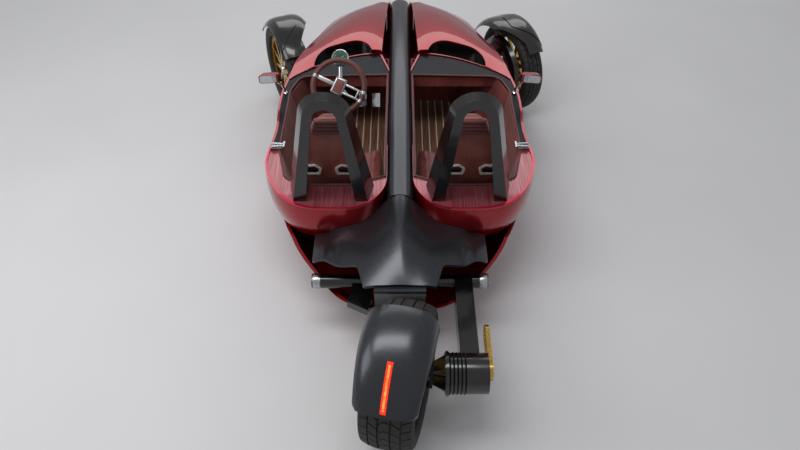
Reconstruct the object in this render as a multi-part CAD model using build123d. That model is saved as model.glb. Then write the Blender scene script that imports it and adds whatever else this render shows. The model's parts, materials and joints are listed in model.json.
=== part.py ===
"""Open two-seat electric tricycle: two steered front wheels, one steered driven rear wheel.

Frame: millimetres, +Y to the front, +X to the vehicle's right, +Z up, ground at Z = 0.
The wheels stand turned to the left, so each steered unit is built straight
about its kingpin and then turned by its own rest angle.
"""
from build123d import *
import math
import os

os.makedirs("parts", exist_ok=True)

# ---- driving dimensions -------------------------------------------------
NOSE_Y = 1695.0            # front tip of the body
RIM_Z = 605.0              # top edge of the body sides
NOSE_DROP = 85.0           # how far the shoulder falls from the cockpit to the nose
SIDE_FOOT_Z = 400.0        # lower edge of the upper body panels
HULL_Z = 130.0             # underside of the hull
SKIN = 14.0                # wall of the body panels
SEAM = 0.5                 # gap between neighbouring panels
REAR_JOIN_Y = -60.0        # where the side panel meets the rear pod
TOP_Z = RIM_Z + 400.0      # over every body panel
LIP = 11.0                 # width of the painted bead round the cockpit and the deck
DECK_DROP = 7.0            # how far the rear deck lies below its edge

SPINE_HALF = 66.0
SPINE_TOP_Z = 630.0
SPINE_FOOT_Z = 144.5
SPINE_FRONT_Y = NOSE_Y - 45.0
SPINE_REAR_Y = -490.0
SPINE_WALL = 6.0
POD_INNER_X = SPINE_HALF + SEAM    # inner side of each pod, beside the spine

FRONT_AXLE_Y = 1180.0
FRONT_OFFSET = 45.0        # wheel centre outboard of its kingpin
FRONT_RADIUS = 310.0
FRONT_WIDTH = 140.0
FRONT_RIM = 232.0          # radius of the rim's flange
FRONT_LOCK = 30.0          # steering angle each way from straight
FRONT_STEER = 25.0         # rest angle, to the left
KINGPIN_X = 580.0 + FRONT_RADIUS * math.sin(math.radians(FRONT_LOCK))
FENDER_GAP = 28.0          # tyre to fender

REAR_AXLE_Y = -1330.0
REAR_RADIUS = 330.0
REAR_WIDTH = 240.0
REAR_RIM = 238.0
REAR_STEER = -12.0         # rest angle, to the right
KINGPIN_HALF = 90.0        # half height of a kingpin post
LUG = 20.0                 # thickness of the lugs that hold the rear kingpin

STEERING = (-345.0, 290.0, 740.0)
STEERING_TILT = 40.0       # plane of the hand wheel from the vertical
STEERING_RADIUS = 160.0
STEERING_GRIP = 15.5       # radius of the hand wheel's ring
STEERING_TURN = 335.0      # rest angle of the hand wheel, to the left

SEAT_X = 345.0             # middle of each seat and roll hoop
HOOP_Y = -445.0
HOOP_TOP_Z = 1200.0
DECK_Z = RIM_Z - DECK_DROP
COCKPIT_REAR_Y = -392.0
DASH_Y = 625.0             # rear edge of the dash panel
BULKHEAD_Y = 1000.0        # front wall of the footwells
LINER = 12.0
FLOOR_Z = HULL_Z + SKIN + SEAM
FLOOR = 14.0

# plan of a pod's shoulder ahead of the dash: share of the way to the nose, and half width
BOW = [(0.945, 195.0), (0.83, 335.0), (0.70, 432.0), (0.565, 492.0), (0.41, 552.0), (0.24, 620.0)]
# and beside the cockpit: distance forward and half width
FLANK = [(600.0, 676.0), (450.0, 698.0), (230.0, 699.0), (60.0, 690.0), (-70.0, 702.0), (-200.0, 711.0)]
# plan of a pod's rounded end, from the flank to the spine
POD_END = [
    (-354.0, 668.0),
    (-460.0, 606.0),
    (-540.0, 510.0),
    (-566.0, 344.0),
    (-545.0, POD_INNER_X + 124.0),
    (-470.0, POD_INNER_X + 45.0),
    (-330.0, POD_INNER_X),
]
HULL_END = [
    (-400.0, 640.0),
    (-580.0, 560.0),
    (-740.0, 440.0),
    (-860.0, 330.0),
    (-915.0, 220.0),
    (-920.0, POD_INNER_X),
]


def ahead(share):
    """Distance forward of a station between the dash and the nose."""
    return DASH_Y + share * (NOSE_Y - DASH_Y)


SHOULDER = [(ahead(share), half) for share, half in BOW] + FLANK


def save(shape, name):
    export_step(shape, f"parts/{name}.step")


def other_side(shape):
    return mirror(shape, about=Plane.YZ)


def box(x0, x1, y0, y1, z0, z1):
    return Pos((x0 + x1) / 2, (y0 + y1) / 2, (z0 + z1) / 2) * Box(x1 - x0, y1 - y0, z1 - z0)


def prism(points, z0, z1, radii=None):
    """Upright block over a plan outline, with some corners rounded."""
    edges = Polyline(*[(x, y, z0) for x, y in points], close=True)
    face = Face(Wire(edges.edges()))
    if radii:
        for (x, y), radius in radii.items():
            corner = face.vertices().sort_by_distance((x, y, z0))[0]
            face = face.fillet_2d(radius, [corner])
    return extrude(face, z1 - z0, dir=(0, 0, 1))


def rod(start, end, radius):
    axis = Vector(*end) - Vector(*start)
    plane = Plane(origin=start, z_dir=axis)
    return plane * Cylinder(radius, axis.length, align=(Align.CENTER, Align.CENTER, Align.MIN))


def across(radius, length):
    """Cylinder with its axis along X."""
    return Cylinder(radius, length, rotation=(0, 90, 0))


def shoulder_z(y):
    """Height of the shoulder line, level at the cockpit and falling to the nose."""
    forward = max(0.0, (y - DASH_Y) / (NOSE_Y - DASH_Y))
    return RIM_Z - NOSE_DROP * forward ** 1.8


# ---- body panels --------------------------------------------------------
def plan_level(z, tuck, swell, inset, end=POD_END):
    """Plan outline of the right pod at one height: drawn in by tuck, its end pushed back by swell."""
    def place(y, x):
        return Vector(POD_INNER_X + (x - POD_INNER_X) * (1 - tuck) - inset, y, z)
    nose = place(NOSE_Y - inset * 2 - tuck * 200, POD_INNER_X + inset)
    flank = [nose] + [place(y - (inset if y > ahead(0.8) else 0), x) for y, x in SHOULDER]
    tail_y = min(y for y, x in end)
    tail = [flank[-1]]
    for y, x in end:
        back = (y - SHOULDER[-1][0]) / (tail_y - SHOULDER[-1][0])
        tail.append(place(y - swell * back + inset * min(1.0, back), x + (inset if x < 300 else 0)))
    side = Spline(flank)
    rounded = Spline(tail)
    return Face(Wire([side, rounded, Line(tail[-1], nose)]))


def wheel_reach(grow):
    """Space that the right front tyre takes at its two steering locks."""
    tyre_block = Pos(FRONT_OFFSET, 0, 0) * across(FRONT_RADIUS + 12 + grow, FRONT_WIDTH + 24 + 2 * grow)
    locks = [Rot(0, 0, turn) * tyre_block for turn in (-FRONT_LOCK, FRONT_LOCK)]
    return [Pos(KINGPIN_X, FRONT_AXLE_Y, FRONT_RADIUS) * lock for lock in locks]


def pod_block(inset, low=0.0, high=0.0):
    levels = [
        (RIM_Z + high, 0.0, 0.0),
        (RIM_Z - 50.0, -0.012, 12.0),
        (RIM_Z - 130.0, -0.005, 14.0),
        (SIDE_FOOT_Z - low, 0.03, -6.0),
    ]
    block = loft([plan_level(z, tuck, swell, inset) for z, tuck, swell in levels])
    return block & box(POD_INNER_X, 900, -900, NOSE_Y + 50, 0, TOP_Z)


def hull_block(inset, high=0.0):
    levels = [
        (SIDE_FOOT_Z - SEAM + high, 0.035, 0.0),
        (300.0, 0.07, 0.0),
        (200.0, 0.17, -40.0),
        (HULL_Z + inset, 0.30, -90.0),
    ]
    return loft([plan_level(z, tuck, swell, inset, HULL_END) for z, tuck, swell in levels])


def above_shoulder(rise):
    """Everything over the shoulder line, ahead of the dash."""
    line = [Vector(0, DASH_Y - 200, RIM_Z + rise)]
    steps = 6
    for i in range(steps + 1):
        y = DASH_Y + (NOSE_Y + 40 - DASH_Y) * i / steps
        line.append(Vector(0, y, shoulder_z(y) + rise))
    top = Spline(line)
    up = Polyline(line[-1], (0, line[-1].Y, TOP_Z), (0, line[0].Y, TOP_Z), line[0])
    face = Face(Wire([top] + up.edges()))
    return extrude(face, 900, dir=(1, 0, 0))


def cockpit_zone(grow):
    """Plan area behind the front edge of the cockpit surround, which slants in to the spine."""
    dash = [(130, ahead(0.216)), (346, ahead(0.166)), (510, ahead(0.08)), (620, ahead(-0.003))]
    flank = [(700, 520.0), (780, 330.0)]
    edge = Spline([Vector(x - grow * 0.8, y + grow, 0) for x, y in dash + flank])
    inner = 67 - grow * 0.8
    rest = Polyline(edge @ 1, (900, -1000, 0), (inner, -1000, 0), (inner, DASH_Y + 24, 0), edge @ 0)
    return extrude(Pos(0, 0, 300) * Face(Wire([edge] + rest.edges())), TOP_Z, dir=(0, 0, 1))


def opening(inset, z0, z1):
    """The open well of one cockpit, seen from above."""
    outer = 669.0 - SKIN - inset
    inner = POD_INNER_X + 3 + inset
    rear = COCKPIT_REAR_Y + inset
    front = DASH_Y - inset
    points = [
        (inner, front),
        (outer - 50, front - 20),
        (outer, 450),
        (outer, -100),
        (outer - 55, -330),
        (480 - inset, rear),
        (250 + inset, rear),
        (inner, rear + 70),
    ]
    radii = dict(zip(points[1:7], [80.0, 150.0, 150.0, 60.0, 80.0, 80.0]))
    return prism(points, z0, z1, radii)


def carved(block, void):
    """An outer block dished clear of the steered wheel, and the wall between it and its void."""
    for reach, inner_reach in zip(wheel_reach(0), wheel_reach(SKIN)):
        block = block - reach
        void = void - inner_reach
    return block, block - void


pod, pod_wall = carved(pod_block(0), pod_block(SKIN, low=5, high=5))
spine_channel = box(POD_INNER_X - 20, POD_INNER_X + 60, -600, NOSE_Y - 60, 300, TOP_Z)
side_right = pod_wall - above_shoulder(0) - spine_channel
LAMP_Z = 455.0             # middle of the slim headlamps
lamp_box = box(130, 330, 1300, NOSE_Y + 45, LAMP_Z - 15, LAMP_Z + 15)
lamp_gap = box(129.5, 330.5, 1300, NOSE_Y + 45, LAMP_Z - 15.5, LAMP_Z + 15.5)
headlamp = (side_right & lamp_box).solids().sort_by(SortBy.VOLUME)[-1]
side_right = side_right - lamp_gap
side_right = side_right & box(0, 900, REAR_JOIN_Y + SEAM / 2, 2000, 300, TOP_Z)

rear_half = box(0, 900, -900, REAR_JOIN_Y - SEAM / 2, 300, TOP_Z)
sunk_deck = pod_block(LIP, low=0, high=5) & box(0, 900, -900, 900, DECK_Z, TOP_Z)
pod_void = pod_block(SKIN, low=5, high=-SKIN - DECK_DROP)
rear_pod_right = (pod & rear_half) - pod_void - opening(0, 300, TOP_Z) - sunk_deck

hull_right = carved(hull_block(0), hull_block(SKIN, high=5))[1]
tail_cut = Polyline((0, -560, 520), (0, -560, 400), (0, -700, 268), (0, -990, 250), (0, -990, 520), close=True)
tail_cut = extrude(Face(Wire(tail_cut.edges())), 900, dir=(1, 0, 0))
hull_right = hull_right - tail_cut

# bead of body colour round the front of the cockpit, between the hood and the dash panel
bead = (cockpit_zone(LIP) - cockpit_zone(0)) & pod_block(2, high=5)
bead = bead & box(POD_INNER_X, 900, 300, 1200, RIM_Z - 16, RIM_Z + 3)
side_right = side_right + bead.solids().sort_by(SortBy.VOLUME)[-1]


def hood_inner(y):
    """Inner edge of the hood, which nears the spine towards the nose."""
    return POD_INNER_X + 14 + 44 * (NOSE_Y - y) / (NOSE_Y - DASH_Y)


def hood_section(y, half, rise, wall):
    base = shoulder_z(y)
    inner = hood_inner(y)
    mid = (inner + half) * 0.5
    outer = Spline((inner, y, base + rise * 0.6), (mid, y, base + rise), (half, y, base + SEAM))
    under = Spline(
        (half - wall * 1.6, y, base + SEAM),
        (mid, y, base + rise - wall),
        (inner + wall, y, base + rise * 0.6 - wall),
    )
    foot = base - 90
    inside = Polyline(
        (inner + wall, y, base + rise * 0.6 - wall),
        (inner + wall, y, foot),
        (inner, y, foot),
        (inner, y, base + rise * 0.6),
    )
    lip = Line((half, y, base + SEAM), (half - wall * 1.6, y, base + SEAM))
    return Face(Wire([outer, lip, under] + inside.edges()))


def under_section(y, half, rise, wall):
    """Space below the hood's underside at one station."""
    base = shoulder_z(y)
    inner = hood_inner(y) + wall
    mid = (hood_inner(y) + half) * 0.5
    under = Spline(
        (half - wall * 1.6, y, base - 1),
        (mid, y, base + rise - wall),
        (inner, y, base + rise * 0.6 - wall),
    )
    foot = base - 90
    edge = half - wall * 1.6
    inner_top = base + rise * 0.6 - wall
    rest = Polyline((inner, y, inner_top), (inner, y, foot), (edge, y, foot), (edge, y, base - 1))
    return Face(Wire([under] + rest.edges()))


# rise of the hood over the shoulder line at each station of the bow
HOOD_RISE = [24.0, 40.0, 54.0, 60.0, 60.0, 44.0]
HOOD_WALL = SKIN * 0.7
hood_stations = [(ahead(share), half, rise) for (share, half), rise in zip(BOW, HOOD_RISE)]
hood_stations = [(ahead(-0.05), 672.0, 16.0)] + hood_stations[::-1]
hood_full = loft([hood_section(y, half, rise, HOOD_WALL) for y, half, rise in hood_stations])
hood_right = hood_full - cockpit_zone(LIP + SEAM)

# mouth of the hood scoop: an arch that opens rearwards over the dash panel
MOUTH = [(526, 690), (512, 815), (462, 880), (395, 908), (330, 932)]
MOUTH = MOUTH + [(262, 944), (212, 922), (180, 868), (166, 800)]
MOUTH_MIDDLE = Vector(346, 760, 0)


def mouth_block(grow, z0, height):
    """Upright block over the mouth's outline, pushed out from its middle."""
    points = []
    for x, y in MOUTH:
        spot = Vector(x, y, 0)
        points.append(spot + (spot - MOUTH_MIDDLE).normalized() * grow)
    edge = Spline(points)
    face = Face(Wire([edge, Line(edge @ 1, edge @ 0)]))
    return extrude(Pos(0, 0, z0) * face, height, dir=(0, 0, 1))


hood_right = hood_right - mouth_block(0, 300, 600)
hood_right = hood_right.solids().sort_by(SortBy.VOLUME)[-1]

# dark duct under each scoop: a floor and a wall that reach up to the hood
DUCT_WALL = 4.0
DUCT_FLOOR_Z = RIM_Z - 62.0
under_hood = loft([under_section(y, half, rise, HOOD_WALL + SEAM) for y, half, rise in hood_stations])
duct_outer = mouth_block(DUCT_WALL, DUCT_FLOOR_Z, 200) & under_hood
duct_right = duct_outer - mouth_block(0, DUCT_FLOOR_Z + DUCT_WALL, 200) - cockpit_zone(LIP + SEAM)
duct_right = duct_right.solids().sort_by(SortBy.VOLUME)[-1]

rim_band = box(0, 900, REAR_JOIN_Y, 1200, RIM_Z - 16, RIM_Z - 4)
rim_right = (pod_block(SKIN + SEAM, low=5, high=5) & rim_band) & cockpit_zone(-SEAM)
rim_right = rim_right - opening(0, 300, TOP_Z) - box(0, POD_INNER_X + 3, -900, 1200, 300, TOP_Z)


def liner_block(inset, z1):
    def level(z, draw):
        outer = 667.0 - SKIN - draw - inset
        inner = POD_INNER_X + 4 + inset
        wide = outer - inner
        front = BULKHEAD_Y - inset
        rear = COCKPIT_REAR_Y + 6 + inset
        points = [
            (inner, front),
            (inner + wide * 0.62, front),
            (inner + wide * 0.887, 640),
            (outer, 430),
            (outer, -100),
            (inner + wide * 0.894, -327 + inset * 0.6),
            (inner + wide * 0.693, rear),
            (inner + wide * 0.3, rear),
            (inner, rear + 68),
        ]
        return Face(Wire(Polyline(*[(x, y, z) for x, y in points], close=True).edges()))
    return loft([level(FLOOR_Z, 174.0), level(200.0, 100.0), level(320.0, 45.0), level(z1, 0.0)], ruled=True)


liner_right = liner_block(0, RIM_Z - 16 - SEAM) - liner_block(LINER, RIM_Z - 16)
liner_right = liner_right - box(0, 900, DASH_Y + 80, 1100, 480, RIM_Z)
floor_right = liner_block(LINER + SEAM, RIM_Z - 17) & box(0, 900, -360, 990, FLOOR_Z, FLOOR_Z + FLOOR)
dash_right = box(0, 900, DASH_Y - 4, DASH_Y + 60, 518, RIM_Z - 16 - SEAM)
dash_right = dash_right & liner_block(LINER + SEAM, RIM_Z - 17)

body_pairs = {
    "side": side_right,
    "rear_pod": rear_pod_right,
    "hull": hull_right,
    "hood": hood_right,
    "hood_duct": duct_right,
    "cockpit_rim": rim_right,
    "liner": liner_right,
    "dash": dash_right,
}
for name, shape in body_pairs.items():
    save(shape, f"{name}_right")
    save(other_side(shape), f"{name}_left")
save(Compound([headlamp, other_side(headlamp)]), "headlamps")
save(Compound([floor_right, other_side(floor_right)]), "floor_boards")


# ---- spine and cowl -----------------------------------------------------
def spine_section(y, grow, top):
    half = SPINE_HALF - grow
    foot = SPINE_FOOT_Z + grow
    shoulder = top - 46
    crown = Spline(
        (-half, y, shoulder),
        (-half * 0.6, y, top - 9),
        (0, y, top),
        (half * 0.6, y, top - 9),
        (half, y, shoulder),
    )
    rest = Polyline((half, y, shoulder), (half, y, foot), (-half, y, foot), (-half, y, shoulder))
    return Face(Wire([crown] + rest.edges()))


def spine_block(grow, trim):
    """Spine with its walls moved in by grow and its ends by trim; the top falls ahead of the dash."""
    stations = [(SPINE_REAR_Y + trim, 0), (DASH_Y, 0), (ahead(0.45), 10.0), (SPINE_FRONT_Y - trim, 66.0)]
    return loft([spine_section(y, grow, SPINE_TOP_Z - grow - drop) for y, drop in stations])


spine_void = spine_block(SPINE_WALL, 5) & box(-200, 200, -600, SPINE_FRONT_Y - 60, 0, TOP_Z)
tow_socket = Pos(0, SPINE_FRONT_Y - 20, 340) * Cylinder(8, 40, rotation=(90, 0, 0))
spine = spine_block(0, 0) - spine_void - tow_socket
save(spine, "spine")
battery = box(-56, 56, -420, 880, SPINE_FOOT_Z + SPINE_WALL, SPINE_FOOT_Z + SPINE_WALL + 330)
save(battery, "battery_block")


def cowl_rib(x, front, middle, rear, thick):
    """Fore-and-aft section of the cowl: three heights on top, the underside below them."""
    top = Spline((x, front[0], front[1]), (x, middle[0], middle[1]), (x, rear[0], rear[1]))
    back = Line((x, rear[0], rear[1]), (x, rear[0] + 4, rear[1] - thick))
    under = Spline(
        (x, rear[0] + 4, rear[1] - thick),
        (x, middle[0], middle[1] - thick),
        (x, front[0], front[1] - thick),
    )
    nose = Line((x, front[0], front[1] - thick), (x, front[0], front[1]))
    return Face(Wire([top, back, under, nose]))


COWL_REAR_Y = -972.0
COWL_WING = 425.0          # half span of the cowl's shoulders
COWL_TAIL = 170.0          # half width of its tail
# distance out from the middle, then the height at the front, half way and at the rear
COWL = [
    (0.0, 628.0, 598.0, 508.0),
    (66.0, 590.0, 576.0, 505.0),
    (130.0, 520.0, 545.0, 502.0),
    (205.0, 500.0, 512.0, 486.0),
    (300.0, 490.0, 482.0, 452.0),
    (450.0, 478.0, 440.0, 420.0),
]
cowl_ribs = [(-x, *rest) for x, *rest in reversed(COWL[1:])] + COWL
cowl_stations = [(x, (SPINE_REAR_Y - 1, a), (-740, b), (COWL_REAR_Y - 5, c)) for x, a, b, c in cowl_ribs]
cowl = loft([cowl_rib(x, front, middle, rear, 16) for x, front, middle, rear in cowl_stations])
cowl_plan = [
    (-1, -480),
    (150, -480),
    (COWL_WING, -600),
    (COWL_WING, -785),
    (COWL_TAIL + 36, -843),
    (COWL_TAIL, COWL_REAR_Y),
    (-1, COWL_REAR_Y),
]
cowl_plan = prism(cowl_plan, 300, 700, {cowl_plan[3]: 20.0, cowl_plan[4]: 30.0, cowl_plan[5]: 14.0})
cowl = cowl & (cowl_plan + other_side(cowl_plan))
pod_clearance = pod_block(-2.0)
cowl = cowl - pod_clearance - other_side(pod_clearance) - box(-500, 500, SPINE_REAR_Y - SEAM, 0, 300, 700)

# curved apron below the cowl's tail, in front of the rear wheel
APRON_RADIUS = REAR_RADIUS + 34.0
APRON_HALF = 120.0
apron = across(APRON_RADIUS + 6, 2 * APRON_HALF) - across(APRON_RADIUS, 3 * APRON_HALF)
apron = Pos(0, REAR_AXLE_Y, REAR_RADIUS) * apron
apron = apron & box(-500, 500, REAR_AXLE_Y, 0, REAR_RADIUS - 20, 488)
cowl = cowl + apron + box(-APRON_HALF, APRON_HALF, -1000, COWL_REAR_Y + 20, 478, 494)
save(cowl, "rear_cowl")

# ---- roll hoops ---------------------------------------------------------
HOOP_ARCH_REAR = 100.0     # radius of the arch on its rear and front faces
HOOP_ARCH_FRONT = 125.0


def hoop_outline(foot, arch, top, deck_y, top_y):
    """Arch over two straight legs, drawn in a plane that leans with the hoop."""
    rise = top - arch - DECK_Z
    reach = math.hypot(foot, rise)
    turn = math.atan2(-rise, foot) + math.acos(arch / reach)
    touch_x = arch * math.cos(turn)
    touch_z = DECK_Z + rise + arch * math.sin(turn)

    def at(x, z):
        return Vector(SEAT_X + x, deck_y + (top_y - deck_y) * (z - DECK_Z) / (HOOP_TOP_Z - DECK_Z), z)
    legs = [Line(at(-foot, DECK_Z), at(-touch_x, touch_z)), Line(at(touch_x, touch_z), at(foot, DECK_Z))]
    over = ThreePointArc(at(-touch_x, touch_z), at(0, top), at(touch_x, touch_z))
    return Face(Wire([legs[0], over, legs[1], Line(at(foot, DECK_Z), at(-foot, DECK_Z))]))


hoop_rear = hoop_outline(186, HOOP_ARCH_REAR, HOOP_TOP_Z - 18, HOOP_Y - 62, HOOP_Y - 40)
hoop_front = hoop_outline(213, HOOP_ARCH_FRONT, HOOP_TOP_Z, HOOP_Y + 58, HOOP_Y + 4)
hoop_hole = hoop_outline(124, 58, HOOP_TOP_Z - 66, 0, 0)
hoop_right = loft([hoop_rear, hoop_front], ruled=True) - extrude(hoop_hole, 1500, dir=(0, 1, 0), both=True)
save(hoop_right, "roll_hoop_right")
save(other_side(hoop_right), "roll_hoop_left")

# ---- seats --------------------------------------------------------------
SEAT_HALF = 196.0
SEAT_Z = 250.0             # top of the shell's base
CUSHION_Z = 385.0


def seat_back(grow, front, rear):
    half = [(60.0, 176.0), (160.0, 340.0), (SEAT_HALF, 560.0), (125.0, 800.0), (62.0, 1000.0)]
    left = [(SEAT_X - x - grow, 0, z) for x, z in half]
    right = [(SEAT_X + x + grow, 0, z) for x, z in reversed(half)]
    face = Face(Wire(Polyline(*left, *right, close=True).edges()))
    return Pos(0, rear, 0) * extrude(face, front - rear, dir=(0, 1, 0))


seat_lean = math.degrees(math.atan(32 / (RIM_Z - 200)))
lean = Pos(0, -300, 200) * Rot(seat_lean, 0, 0) * Pos(0, 300, -200)
shell_back = lean * seat_back(0, -280, -302)
shell_base = box(110, 420, -290, 195, FLOOR_Z + FLOOR + 0.3, SEAT_Z)
shell_base = shell_base + box(110, 480, -290, 195, SEAT_Z - 35, SEAT_Z)
seat_shell_right = shell_back + shell_base
wing_side = Polyline((0, -279, 380), (0, -150, 380), (0, -160, 520), (0, -220, 625), (0, -279, 625), close=True)
wings = extrude(Face(Wire(wing_side.edges())), 900, dir=(1, 0, 0)) & seat_back(-14, -100, -279.7)
wings = wings - box(SEAT_X - 136, SEAT_X + 136, -500, 0, 0, 900)
pad_back = lean * (seat_back(-14, -220, -279.7) + wings) & box(0, 900, -900, 900, CUSHION_Z + 1, 1100)
pad_base = box(92, 496, -262, 208, SEAT_Z + 0.3, CUSHION_Z)
pad_base = fillet(pad_base.edges().filter_by(Axis.Z), 40)
seat_pads_right = Compound([pad_back, pad_base])
save(seat_shell_right, "seat_shell_right")
save(other_side(seat_shell_right), "seat_shell_left")
save(seat_pads_right, "seat_pads_right")
save(other_side(seat_pads_right), "seat_pads_left")

# ---- mirrors ------------------------------------------------------------
mirror_shell = Box(132, 46, 62)
mirror_shell = fillet(mirror_shell.edges().filter_by(Axis.Y), 18)
mirror_shell = Pos(745, 385, 740) * Rot(0, 0, -8) * mirror_shell
mirror_stalk = rod((676, 425, RIM_Z + 0.3), (718, 390, 725), 8)
mirror_foot = Pos(676, 425, RIM_Z + 4.3) * Cylinder(14, 8)
mirror_right = (mirror_shell + mirror_stalk + mirror_foot) & box(0, 900, 0, 900, RIM_Z + 0.3, 900)
save(mirror_right, "mirror_right")
save(other_side(mirror_right), "mirror_left")

# ---- steering -----------------------------------------------------------
tilt = math.radians(STEERING_TILT)
toward_driver = Vector(0, -math.cos(tilt), math.sin(tilt))
steer_plane = Plane(origin=STEERING, x_dir=(1, 0, 0), z_dir=toward_driver)
grip = steer_plane * Pos(STEERING_RADIUS - STEERING_GRIP, 0, 0) * Rot(90, 0, 0) * Circle(STEERING_GRIP)
ring = revolve(grip, Axis(STEERING, toward_driver), 360)
hub = steer_plane * Pos(0, 0, -8) * Box(72, 100, 34)
spoke = STEERING_RADIUS - STEERING_GRIP
spokes = steer_plane * (Pos(-spoke / 2, 0, -6) * Box(spoke, 26, 8))
for y in (-24, 24):
    spokes = spokes + steer_plane * (Pos(spoke / 2 - 2, y, -6) * Box(spoke - 4, 15, 8))
steering_wheel = ring + hub + spokes
steering_wheel = steering_wheel.rotate(Axis(STEERING, toward_driver), STEERING_TURN)
save(steering_wheel, "steering_wheel")
column_start = Vector(*STEERING) - toward_driver * 25.3
column_end = Vector(*STEERING) - toward_driver * 960
column = rod(column_start, column_end, 24)
gauge_root = Vector(*STEERING) - toward_driver * 129
up_hill = Vector(0, math.sin(tilt), math.cos(tilt))
gauge_centre = gauge_root + up_hill * 173
column = column + rod(gauge_root, gauge_centre, 12)
gauge = Plane(origin=gauge_centre, z_dir=toward_driver) * Cylinder(50, 34)
column = column - Plane(origin=gauge_centre, z_dir=toward_driver) * Cylinder(50.3, 34.6)
column = column - box(-900, 0, -400, 1200, 0, FLOOR_Z + FLOOR + 0.3)
footwell = other_side(liner_block(LINER + 0.3, RIM_Z - 17) + box(0, 900, -900, 1100, RIM_Z - 18, 1200))
column = column & footwell
save(column, "steering_column")
save(gauge, "gauge")

pedals = []
for x in (-250.0, -160.0):
    pad = Pos(x, 860, 250) * Rot(-35, 0, 0) * Box(52, 12, 90)
    arm = rod((x, 860, 250), (x, 910, FLOOR_Z + FLOOR + 0.3), 8)
    pedals.append((pad + arm) & box(-900, 0, 0, 1100, FLOOR_Z + FLOOR + 0.3, 600))
save(Compound(pedals), "pedals")


# ---- wheels -------------------------------------------------------------
def tyre(radius, width, rim):
    """Section drawn with the axle along X: tread, shoulders and bead."""
    half = width / 2
    bead = [(half * 0.55, rim - 4), (half * 0.86, rim)]
    wall = [(half, (rim + radius) / 2), (half * 0.9, radius - 19)]
    tread = [(half * 0.6, radius - 5), (0, radius)]
    outline = bead + wall + tread
    ring = outline + [(-x, r) for x, r in reversed(outline[:-1])]
    face = Face(Wire(Polyline(*[(x, 0, r) for x, r in ring], close=True).edges()))
    return revolve(face, Axis((0, 0, 0), (1, 0, 0)), 360)


SPOKES = 10


def rim_barrel(width, rim, disc_x, hub_radius, bore):
    """Open barrel with tapered spokes on one side; the axle lies along X."""
    barrel = across(rim - 4.3, width * 0.86 * 0.75) - across(rim - 20, width)
    root = hub_radius - 8
    tip = rim - 12
    spoke = Polyline((disc_x, -17, root), (disc_x, -9, tip), (disc_x, 9, tip), (disc_x, 17, root), close=True)
    spoke = extrude(Face(Wire(spoke.edges())), 8, dir=(1, 0, 0), both=True)
    hub = Pos(disc_x - math.copysign(12, disc_x), 0, 0) * across(hub_radius, 40)
    ring = Pos(disc_x, 0, 0) * (across(rim - 12, 16) - across(rim - 34, 20))
    wheel = barrel + ring + hub
    for i in range(SPOKES):
        wheel = wheel + spoke.rotate(Axis.X, i * 360 / SPOKES)
    return wheel - across(bore, 400)


AXLE_RADIUS = 18.0
BEARING = 0.08
front_tyre = tyre(FRONT_RADIUS, FRONT_WIDTH, FRONT_RIM)
front_rim = rim_barrel(FRONT_WIDTH, FRONT_RIM, 30.0, 46.0, AXLE_RADIUS + BEARING)
front_axle = Pos(-FRONT_OFFSET / 2 + 15, 0, 0) * across(AXLE_RADIUS, FRONT_OFFSET + 40)
upright = Pos(-FRONT_OFFSET, 0, 0) * Cylinder(22, 2 * KINGPIN_HALF)


def fender_ring(radius, half, edge_drop, thick, start, end):
    """Crowned strip over a tyre, from one angle behind the top to one before it."""
    outer = Spline(
        (-half, 0, radius - edge_drop),
        (-half * 0.8, 0, radius - edge_drop * 0.35),
        (0, 0, radius),
        (half * 0.8, 0, radius - edge_drop * 0.35),
        (half, 0, radius - edge_drop),
    )
    inner_half = half - thick
    inner = Spline(
        (inner_half, 0, radius - edge_drop),
        (half * 0.78, 0, radius - edge_drop * 0.35 - thick),
        (0, 0, radius - thick),
        (-half * 0.78, 0, radius - edge_drop * 0.35 - thick),
        (-inner_half, 0, radius - edge_drop),
    )
    face = Face(Wire([outer, Line(outer @ 1, inner @ 0), inner, Line(inner @ 1, outer @ 0)]))
    strip = revolve(face, Axis((0, 0, 0), (1, 0, 0)), end - start)
    return strip.rotate(Axis.X, start)


# the front fender reaches further inboard than outboard; a raised panel lies on its outer half
FENDER_RADIUS = FRONT_RADIUS + FENDER_GAP + 7
FENDER_HALF = 125.0
FENDER_MIDDLE = -40.0
fender_plan = [(86, 330), (-166, 330), (-166, 10), (-122, -90), (-50, -200), (-41, -340), (86, -340)]
fender_plan = prism(fender_plan, 0, 500, {fender_plan[3]: 60.0, fender_plan[4]: 40.0})
panel_plan = [(84, 100), (-66, 82), (-78, -60), (60, -190), (84, -200)]
panel_plan = prism(panel_plan, 0, 500, {point: 14.0 for point in panel_plan[1:4]})
fender_place = Pos(FENDER_MIDDLE, 0, 0)
front_fender = (fender_place * fender_ring(FENDER_RADIUS, FENDER_HALF, 42, 7, -55, 48)) & fender_plan
panel = (fender_place * fender_ring(FENDER_RADIUS + 5, FENDER_HALF + 1, 42, 8, -40, 46)) & panel_plan
front_fender = front_fender + panel
fender_clearance = fender_place * fender_ring(FENDER_RADIUS + 0.3, FENDER_HALF + 0.3, 42.6, 7.6, -56, 49)
bracket = box(-FRONT_OFFSET - 50, -FRONT_OFFSET, 0, 100, -15, 15)
fender_post = box(-FRONT_OFFSET - 50, -FRONT_OFFSET - 36, 62, 100, -15, FENDER_RADIUS - 12)
bracket = bracket + fender_post - fender_clearance
bracket = bracket.solids().sort_by(SortBy.VOLUME)[-1]

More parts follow.
